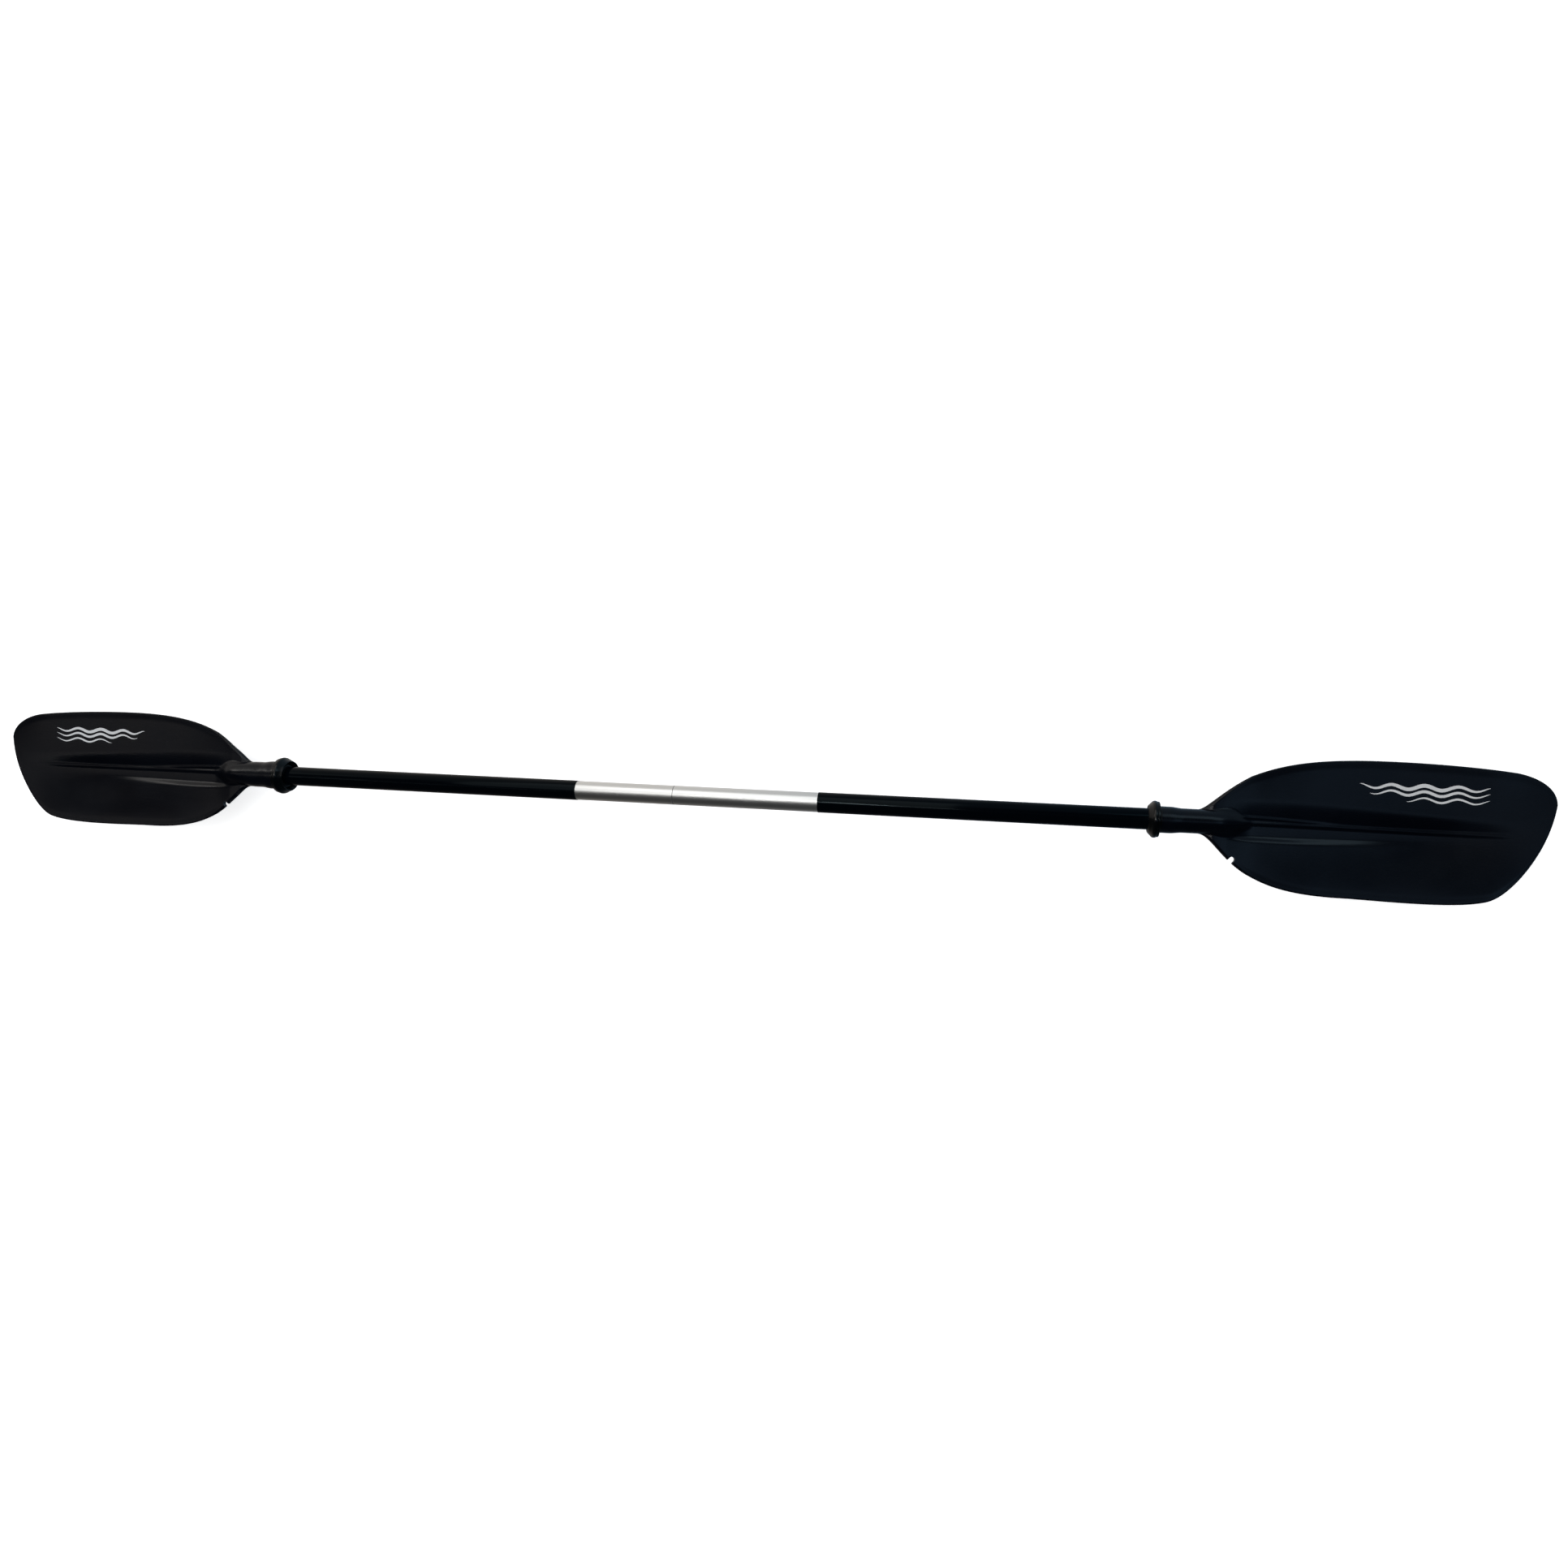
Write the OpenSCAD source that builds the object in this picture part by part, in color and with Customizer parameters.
// Two-piece kayak paddle with asymmetric spooned blades.
// Frame: X runs along the shaft, with the seam between the halves at X = 0 and
// the left half at -X. +Z is the side of the power faces, +Y the longer blade edge.

/* [Shaft] */
// Outer diameter of the aluminium tube
tube_d = 27.5; // [24:0.5:32]
// Wall of the aluminium tube
tube_wall = 1.25; // [1:0.05:2]
// Wall of the black sleeve over each tube
sleeve_wall = 0.5; // [0.3:0.1:1.5]
// Bare tube to the left of the seam
left_bare = 145.5; // [110:0.5:200]
// Bare tube to the right of the seam
right_bare = 208.5; // [110:0.5:260]
// Seam to the mouth of the left blade's neck
left_mouth = 628.5; // [450:0.5:800]
// Seam to the mouth of the right blade's neck
right_mouth = 661.5; // [450:0.5:800]
// Depth that the tube goes into a neck
socket_depth = 70; // [50:1:75]

/* [Ferrule] */
// Length of the ferrule that stands out of the left tube
ferrule_out = 90; // [70:1:110]
// Length of the ferrule inside the left tube
ferrule_in = 70; // [50:1:90]
// Wall of the ferrule
ferrule_wall = 1.2; // [1:0.1:2]
// Radial gap between the ferrule and the right tube
ferrule_gap = 0.05; // [0.03:0.01:0.1]
// Thickness of the washer at the seam
washer_t = 0.7; // [0.5:0.1:1.5]

/* [Snap button] */
// Seam to the middle of the button
button_x = 38; // [30:1:50]
// Diameter of the button
button_d = 8; // [6:0.5:9]
// Height of the button above the outside of the tube
button_proud = 3.2; // [2:0.1:4]
// Angle from one button hole to the next
feather_step = 60; // [45:5:60]

/* [Blade] */
// Length from the root of the blade to its tip
blade_len = 372; // [330:1:420]
// Greatest width of the blade
blade_w = 177; // [150:1:200]
// Mouth of the neck to the root of the blade
neck_len = 83; // [80:1:95]
// Diameter of the neck's collar
collar_d = 35; // [33:0.5:38]
// Diameter of the neck's waist
waist_d = 32; // [31:0.5:33]
// Rise of the tip above the shaft's axis
tip_rise = 30; // [10:1:50]
// Dip of the middle of the blade
mid_dip = 8; // [0:1:12]
// Thickness of the blade at its middle
plate_t = 5; // [4:0.5:7]
// Height of the spine above the face
spine_h = 2; // [1:0.5:4]
// Depth of the channel along the power face
channel_t = 5.5; // [2:0.5:6]
// Rise of the blade's long edges above its middle
edge_rise = 5; // [0:0.5:8]
// Width of the line notch
notch_w = 7; // [5:0.5:9]

/* [Drip ring] */
// Diameter of the ring's rim
ring_d = 49; // [44:1:56]
// Length of the ring along the shaft
ring_len = 14; // [12:1:18]
// Gap between the ring and the neck
ring_gap = 0.3; // [0.2:0.1:1]

/* [Hidden] */

$fn = 96;
eps = 0.01;
left = -1;
right = 1;

tube_r = tube_d / 2;
tube_ir = tube_r - tube_wall;
sleeve_r = tube_r + sleeve_wall;
ferrule_r = tube_ir - ferrule_gap;
ferrule_ir = ferrule_r - ferrule_wall;
washer_gap = 0.05;
right_start = washer_t + 2 * washer_gap;
plug_len = 22;
plug_inset = 2;

hole_gap = 0.15;
button_r = button_d / 2;
button_top = tube_r + button_proud;
flange_r = button_r + 1.6;
flange_t = 1;
flange_out = sqrt(pow(ferrule_ir, 2) - pow(flange_r, 2)) - 0.2;
spring_t = 0.7;
spring_w = 8;
spring_reach = 48;

rivet_r = 2;
rivet_head_r = 3.6;
rivet_head_h = 1.3;
rivet_tail_r = 2.9;
rivet_tail_h = 1.6;
ferrule_rivet_x = [-20, -50];
neck_rivet_u = 36 - neck_len;

// The neck's spigot, which the ring sits on and the sleeve butts against
seat_r = sleeve_r + 0.35;
seat_len = ring_len + 0.5;
ring_bore_r = seat_r + 0.05;

collar_r = collar_d / 2;
waist_r = waist_d / 2;
collar_u = 13 - neck_len;
waist_u = 30 - neck_len;
flare_u = -35;

// The blade's edges, as four Bezier arcs each from the neck to the tip.
// u runs from the root to the tip, and y across; both edges meet at the tip.
ku = blade_len / 372;
ky = blade_w / 177;
upper_arcs = [
    [[flare_u, waist_r], [-14, waist_r], [-6, 42], [30, 62]],
    [[30, 62], [60, 75.5], [95, 86.5], [170, 87.5]],
    [[170, 87.5], [230, 88], [290, 84], [330, 78.4]],
    [[330, 78.4], [352, 74.5], [372, 62], [372, 42]]];
lower_arcs = [
    [[flare_u, -waist_r], [-14, -waist_r], [-6, -46], [25, -64.5]],
    [[25, -64.5], [48, -77], [75, -90], [150, -88.6]],
    [[150, -88.6], [200, -89.5], [268, -92], [300, -82.3]],
    [[300, -82.3], [327, -76], [366, -18], [372, 42]]];
arc_steps = [9, 7, 6, 10];
tip_stop = 0.985;

notch_r = notch_w / 2;
notch_u = 9;
notch_y = -47;
notch_angle = 230;

function mix(a, b, t) = a * (1 - t) + b * t;
function clamp(v, lo, hi) = min(max(v, lo), hi);
function ease(a, b, v) = let(t = clamp((v - a) / (b - a), 0, 1)) t * t * (3 - 2 * t);
function bezier(p, t) = let(s = 1 - t)
    s * s * s * p[0] + 3 * s * s * t * p[1] + 3 * s * t * t * p[2] + t * t * t * p[3];
function stretch(p) = [p[0] > 0 ? p[0] * ku : p[0], abs(p[1]) > waist_r ? p[1] * ky : p[1]];

// Radius of the neck at u
function neck_r(u) = mix(collar_r, waist_r, ease(collar_u, waist_u, u));

// Height of the blade's middle surface
function spoon(u) = let(p = clamp(u / blade_len, 0, 1))
    tip_rise * pow(p, 1.6) - mid_dip * sin(180 * p);
function dish(u, y) = let(on = ease(10, 110, u) * (1 - ease(300, 372, u)))
    on * edge_rise * pow(abs(y) / (blade_w / 2), 2);
// Its channel: a long slope towards +Y, a floor, and a short wall towards -Y
function channel(u, y) = let(
    deep = channel_t * ease(-10, 35, u) * (1 - ease(180, 350, u)),
    slope = 1 - pow(1 - clamp((y - 1) / mix(26, 12, ease(40, 330, u)), 0, 1), 1.6),
    wall = mix(0.7, 0, ease(50, 250, u)),
    rise = wall * ease(mix(16, 9, ease(60, 240, u)), mix(25, 20, ease(60, 240, u)), -y)
        + (1 - wall) * ease(8, 75, -y))
    -deep * (1 - (y > 0 ? slope : rise));
function mid_z(u, y) = spoon(u) + dish(u, y) + channel(u, y);

// Half thickness of the plate, and of the socket that runs out into the spine
function plate(u, y, edge) = let(
    t = mix(7, plate_t / 2, ease(-30, 30, u)) * ease(flare_u, -8, u),
    thin = mix(1, 0.55, abs(y) / (blade_w / 2)))
    t * thin * (edge < 1 ? 0 : 1);
function spine(u, y, reach, high) = let(
    w = mix(mix(neck_r(u), 5, ease(-8, reach, u)), 2.4, ease(reach, reach + 40, u)),
    h = mix(mix(neck_r(u), plate_t / 2 + high, ease(-2, reach, u)), 0, ease(270, 330, u)))
    abs(y) < w ? h * sqrt(1 - pow(y / w, 2)) : 0;
function smooth_max(a, b, k) = (a + b + sqrt(pow(a - b, 2) + k * k) - k) / 2;
function face_h(u, y, edge, reach, high) = edge == 0 ? 0 :
    smooth_max(plate(u, y, edge), spine(u, y, reach, high), ease(-20, 10, u) * 1.2);

// Places across a section: edge, rim, outer steps, and closer steps at the spine
rim = 2.2;
outer_n = 4;
inner_n = 10;
function across(lo, hi) = let(
    w = hi - lo,
    a = min(15, 0.3 * w),
    c = clamp(0, lo + 0.45 * w, hi - 0.45 * w),
    e = min(rim, 0.06 * w))
    concat([lo], [for (i = [0:outer_n - 1]) mix(lo + e, c - a, i / outer_n)],
        [for (i = [0:inner_n]) c - a * cos(180 * i / inner_n)],
        [for (i = [outer_n - 1:-1:0]) mix(hi - e, c + a, i / outer_n)], [hi]);

// One closed ring of points: over the power face and back under it
function section(lo, hi) = let(
    ys = across(lo[1], hi[1]),
    n = len(ys) - 1,
    us = [for (y = ys) mix(lo[0], hi[0], (y - lo[1]) / (hi[1] - lo[1]))])
    concat(
        [for (i = [0:n]) let(edge = (i == 0 || i == n) ? 0 : 1)
            [us[i], ys[i], mid_z(us[i], ys[i]) + face_h(us[i], ys[i], edge, 38, spine_h)]],
        [for (i = [n - 1:-1:1])
            [us[i], ys[i], mid_z(us[i], ys[i]) - face_h(us[i], ys[i], 1, 90, spine_h * 1.5)]]);

neck_sections = [for (u = [-neck_len, collar_u, mix(collar_u, waist_u, 0.35),
                           mix(collar_u, waist_u, 0.65), waist_u, mix(waist_u, flare_u, 0.6)])
    section([u, -neck_r(u)], [u, neck_r(u)])];
blade_sections = [for (k = [0:3]) for (i = [0:arc_steps[k] - (k == 3 ? 0 : 1)])
    let(t = min(i / arc_steps[k], k == 3 ? tip_stop : 1))
    section(stretch(bezier(lower_arcs[k], t)), stretch(bezier(upper_arcs[k], t)))];

// A closed solid through rings of points, all with the same count
module loft(rings) {
    m = len(rings[0]);
    n = len(rings);
    polyhedron(
        points = [for (r = rings) for (p = r) p],
        faces = concat(
            [[for (j = [0:m - 1]) j]],
            [for (i = [0:n - 2]) for (j = [0:m - 1]) let(k = (j + 1) % m)
                each [[i * m + j, (i + 1) * m + j, i * m + k],
                      [i * m + k, (i + 1) * m + j, (i + 1) * m + k]]],
            [[for (j = [m - 1:-1:0]) (n - 1) * m + j]]));
}

// A cylinder along X, from x0 to x1
module rod_x(r, x0, x1) {
    translate([x0, 0, 0]) rotate([0, 90, 0]) cylinder(r = r, h = x1 - x0);
}

module pipe_x(r, ir, x0, x1) {
    difference() {
        rod_x(r, x0, x1);
        rod_x(ir, x0 - 1, x1 + 1);
    }
}

// A hole or shank that points down, towards -Z, at x
module post_down(r, x, z0, z1) {
    translate([x, 0, -z1]) cylinder(r = r, h = z1 - z0);
}

// Puts a shape on one half: local x is the distance from the seam
module half(side) {
    mirror([side == left ? 1 : 0, 0, 0]) children();
}

module blade(mouth) {
    difference() {
        union() {
            translate([mouth + neck_len, 0, 0]) loft(concat(neck_sections, blade_sections));
            rod_x(seat_r, mouth - seat_len, mouth + 1);
        }
        rod_x(tube_r, mouth - seat_len - 1, mouth + socket_depth);
        post_down(rivet_r, mouth + neck_len + neck_rivet_u, tube_r - 2, waist_r + 2);
        translate([mouth + neck_len + notch_u, notch_y, -30]) rotate([0, 0, notch_angle]) {
            cylinder(r = notch_r, h = 60);
            translate([0, -notch_r, 0]) cube([20, notch_w, 60]);
        }
    }
}

// Blind rivet on the underside, through the wall from surface_r inwards
module blind_rivet(x, surface_r, inner_r) {
    difference() {
        union() {
            post_down(rivet_r, x, inner_r - rivet_tail_h, surface_r + 0.4);
            post_down(rivet_head_r, x, surface_r - 0.8, surface_r + rivet_head_h);
        }
        difference() {
            rod_x(surface_r, x - 8, x + 8);
            post_down(rivet_r, x, 0, surface_r + 1);
        }
    }
    difference() {
        post_down(rivet_tail_r, x, inner_r - rivet_tail_h, inner_r);
        difference() {
            rod_x(surface_r, x - 8, x + 8);
            rod_x(inner_r, x - 9, x + 9);
        }
    }
}

module ring(mouth) {
    rim_r = ring_d / 2;
    bead_r = 5.8;
    bead_v = ring_len - bead_r;
    lip_r = 1.6;
    translate([mouth - ring_gap, 0, 0]) rotate([0, -90, 0]) rotate_extrude() difference() {
        union() {
            translate([ring_bore_r, 0]) square([2.6, ring_len - 1]);
            translate([ring_bore_r, 0]) square([21 - ring_bore_r, 2 * lip_r]);
            translate([21, lip_r]) circle(r = lip_r, $fn = 32);
            translate([rim_r - bead_r, bead_v]) circle(r = bead_r, $fn = 64);
        }
        translate([ring_bore_r + 4.4, ring_len - 3]) circle(r = 2.4, $fn = 48);
        translate([ring_bore_r + 2, ring_len - 3]) square([4.8, 10]);
        translate([0, -1]) square([ring_bore_r, ring_len + 2]);
    }
}

module left_blade() { color([0.07, 0.08, 0.10]) half(left) blade(left_mouth); }
module right_blade() { color([0.07, 0.08, 0.10]) half(right) blade(right_mouth); }

module left_shaft_tube() {
    color([0.80, 0.81, 0.82]) difference() {
        half(left) pipe_x(tube_r, tube_ir, 0, left_mouth + socket_depth);
        for (x = ferrule_rivet_x) post_down(rivet_r, x, 0, tube_r + 2);
        half(left) post_down(rivet_r, left_mouth + neck_len + neck_rivet_u, 0, tube_r + 2);
    }
}

module right_shaft_tube() {
    color([0.80, 0.81, 0.82]) difference() {
        pipe_x(tube_r, tube_ir, right_start, right_mouth + socket_depth);
        for (a = [-feather_step, 0, feather_step])
            rotate([a, 0, 0]) post_down(button_r + hole_gap, button_x, 0, tube_r + 2);
        post_down(rivet_r, right_mouth + neck_len + neck_rivet_u, 0, tube_r + 2);
    }
}

module left_grip_sleeve() {
    color([0.05, 0.05, 0.06]) half(left) pipe_x(sleeve_r, tube_r, left_bare, left_mouth - seat_len);
}

module right_grip_sleeve() {
    color([0.05, 0.05, 0.06]) pipe_x(sleeve_r, tube_r, right_bare, right_mouth - seat_len);
}

// Cup-shaped plug pressed into the tube's outer end, its open side out
module tube_plug(mouth) {
    end = mouth + socket_depth - plug_inset;
    difference() {
        rod_x(tube_ir, end - plug_len, end);
        rod_x(tube_ir - 2, end - plug_len + 3, end + 1);
    }
}

module left_tube_plug() { color([0.12, 0.12, 0.13]) half(left) tube_plug(left_mouth); }
module right_tube_plug() { color([0.12, 0.12, 0.13]) half(right) tube_plug(right_mouth); }

module left_blade_rivet() {
    color([0.6, 0.6, 0.6]) half(left)
        blind_rivet(left_mouth + neck_len + neck_rivet_u, waist_r, tube_ir);
}

module right_blade_rivet() {
    color([0.6, 0.6, 0.6]) blind_rivet(right_mouth + neck_len + neck_rivet_u, waist_r, tube_ir);
}

module left_drip_ring() { color([0.03, 0.03, 0.03]) half(left) ring(left_mouth); }
module right_drip_ring() { color([0.03, 0.03, 0.03]) half(right) ring(right_mouth); }

module ferrule_tube() {
    color([0.70, 0.71, 0.72]) difference() {
        pipe_x(ferrule_r, ferrule_ir, -ferrule_in, ferrule_out);
        post_down(button_r + hole_gap, button_x, 0, tube_r + 2);
        for (x = ferrule_rivet_x) post_down(rivet_r, x, 0, tube_r + 2);
    }
}

module ferrule_rivets() {
    color([0.6, 0.6, 0.6]) for (x = ferrule_rivet_x) blind_rivet(x, tube_r, ferrule_ir);
}

module ferrule_end_cap() {
    color([0.08, 0.08, 0.08]) {
        rod_x(ferrule_ir, ferrule_out - 8, ferrule_out + eps);
        rod_x(ferrule_r - 0.3, ferrule_out, ferrule_out + 1.5);
    }
}

module snap_button() {
    dome_r = 7;
    dome_z = button_top - dome_r;
    color([0.75, 0.76, 0.78]) union() {
        intersection() {
            post_down(button_r, button_x, flange_out - flange_t, button_top + 1);
            union() {
                translate([button_x, 0, -dome_z]) sphere(r = dome_r);
                post_down(button_r + 1, button_x, flange_out - flange_t - 1, dome_z);
            }
        }
        post_down(flange_r, button_x, flange_out - flange_t, flange_out);
    }
}

// A V of spring strip: one leaf under the button's flange, the other on the far wall
module button_spring() {
    low = -(flange_out - flange_t);
    high = sqrt(pow(ferrule_ir, 2) - pow(spring_w / 2, 2)) - 0.1;
    bend_x = button_x - spring_reach;
    bend_z = (low + high) / 2;
    bend_r = 3;
    bend = function(r, from, to) [for (i = [0:12]) let(a = mix(from, to, i / 12))
        [bend_x + r * cos(a), bend_z + r * sin(a)]];
    color([0.7, 0.7, 0.72]) rotate([90, 0, 0]) translate([0, 0, -spring_w / 2])
        linear_extrude(spring_w) polygon(concat(
            [[button_x + 6, low + spring_t], [button_x + 6, low], [button_x - 6, low]],
            bend(bend_r, 270, 90),
            [[button_x, high], [button_x + 12, high - 1],
             [button_x + 12, high - 1 - spring_t], [button_x, high - spring_t]],
            bend(bend_r - spring_t, 90, 270),
            [[button_x - 6, low + spring_t]]));
}

module seam_washer() {
    color([0.25, 0.26, 0.28]) pipe_x(tube_r, tube_ir, washer_gap, washer_gap + washer_t);
}

left_blade();
left_shaft_tube();
left_grip_sleeve();
left_tube_plug();
left_blade_rivet();
left_drip_ring();
ferrule_tube();
ferrule_rivets();
ferrule_end_cap();
snap_button();
button_spring();
seam_washer();
right_shaft_tube();
right_grip_sleeve();
right_tube_plug();
right_blade();
right_blade_rivet();
right_drip_ring();
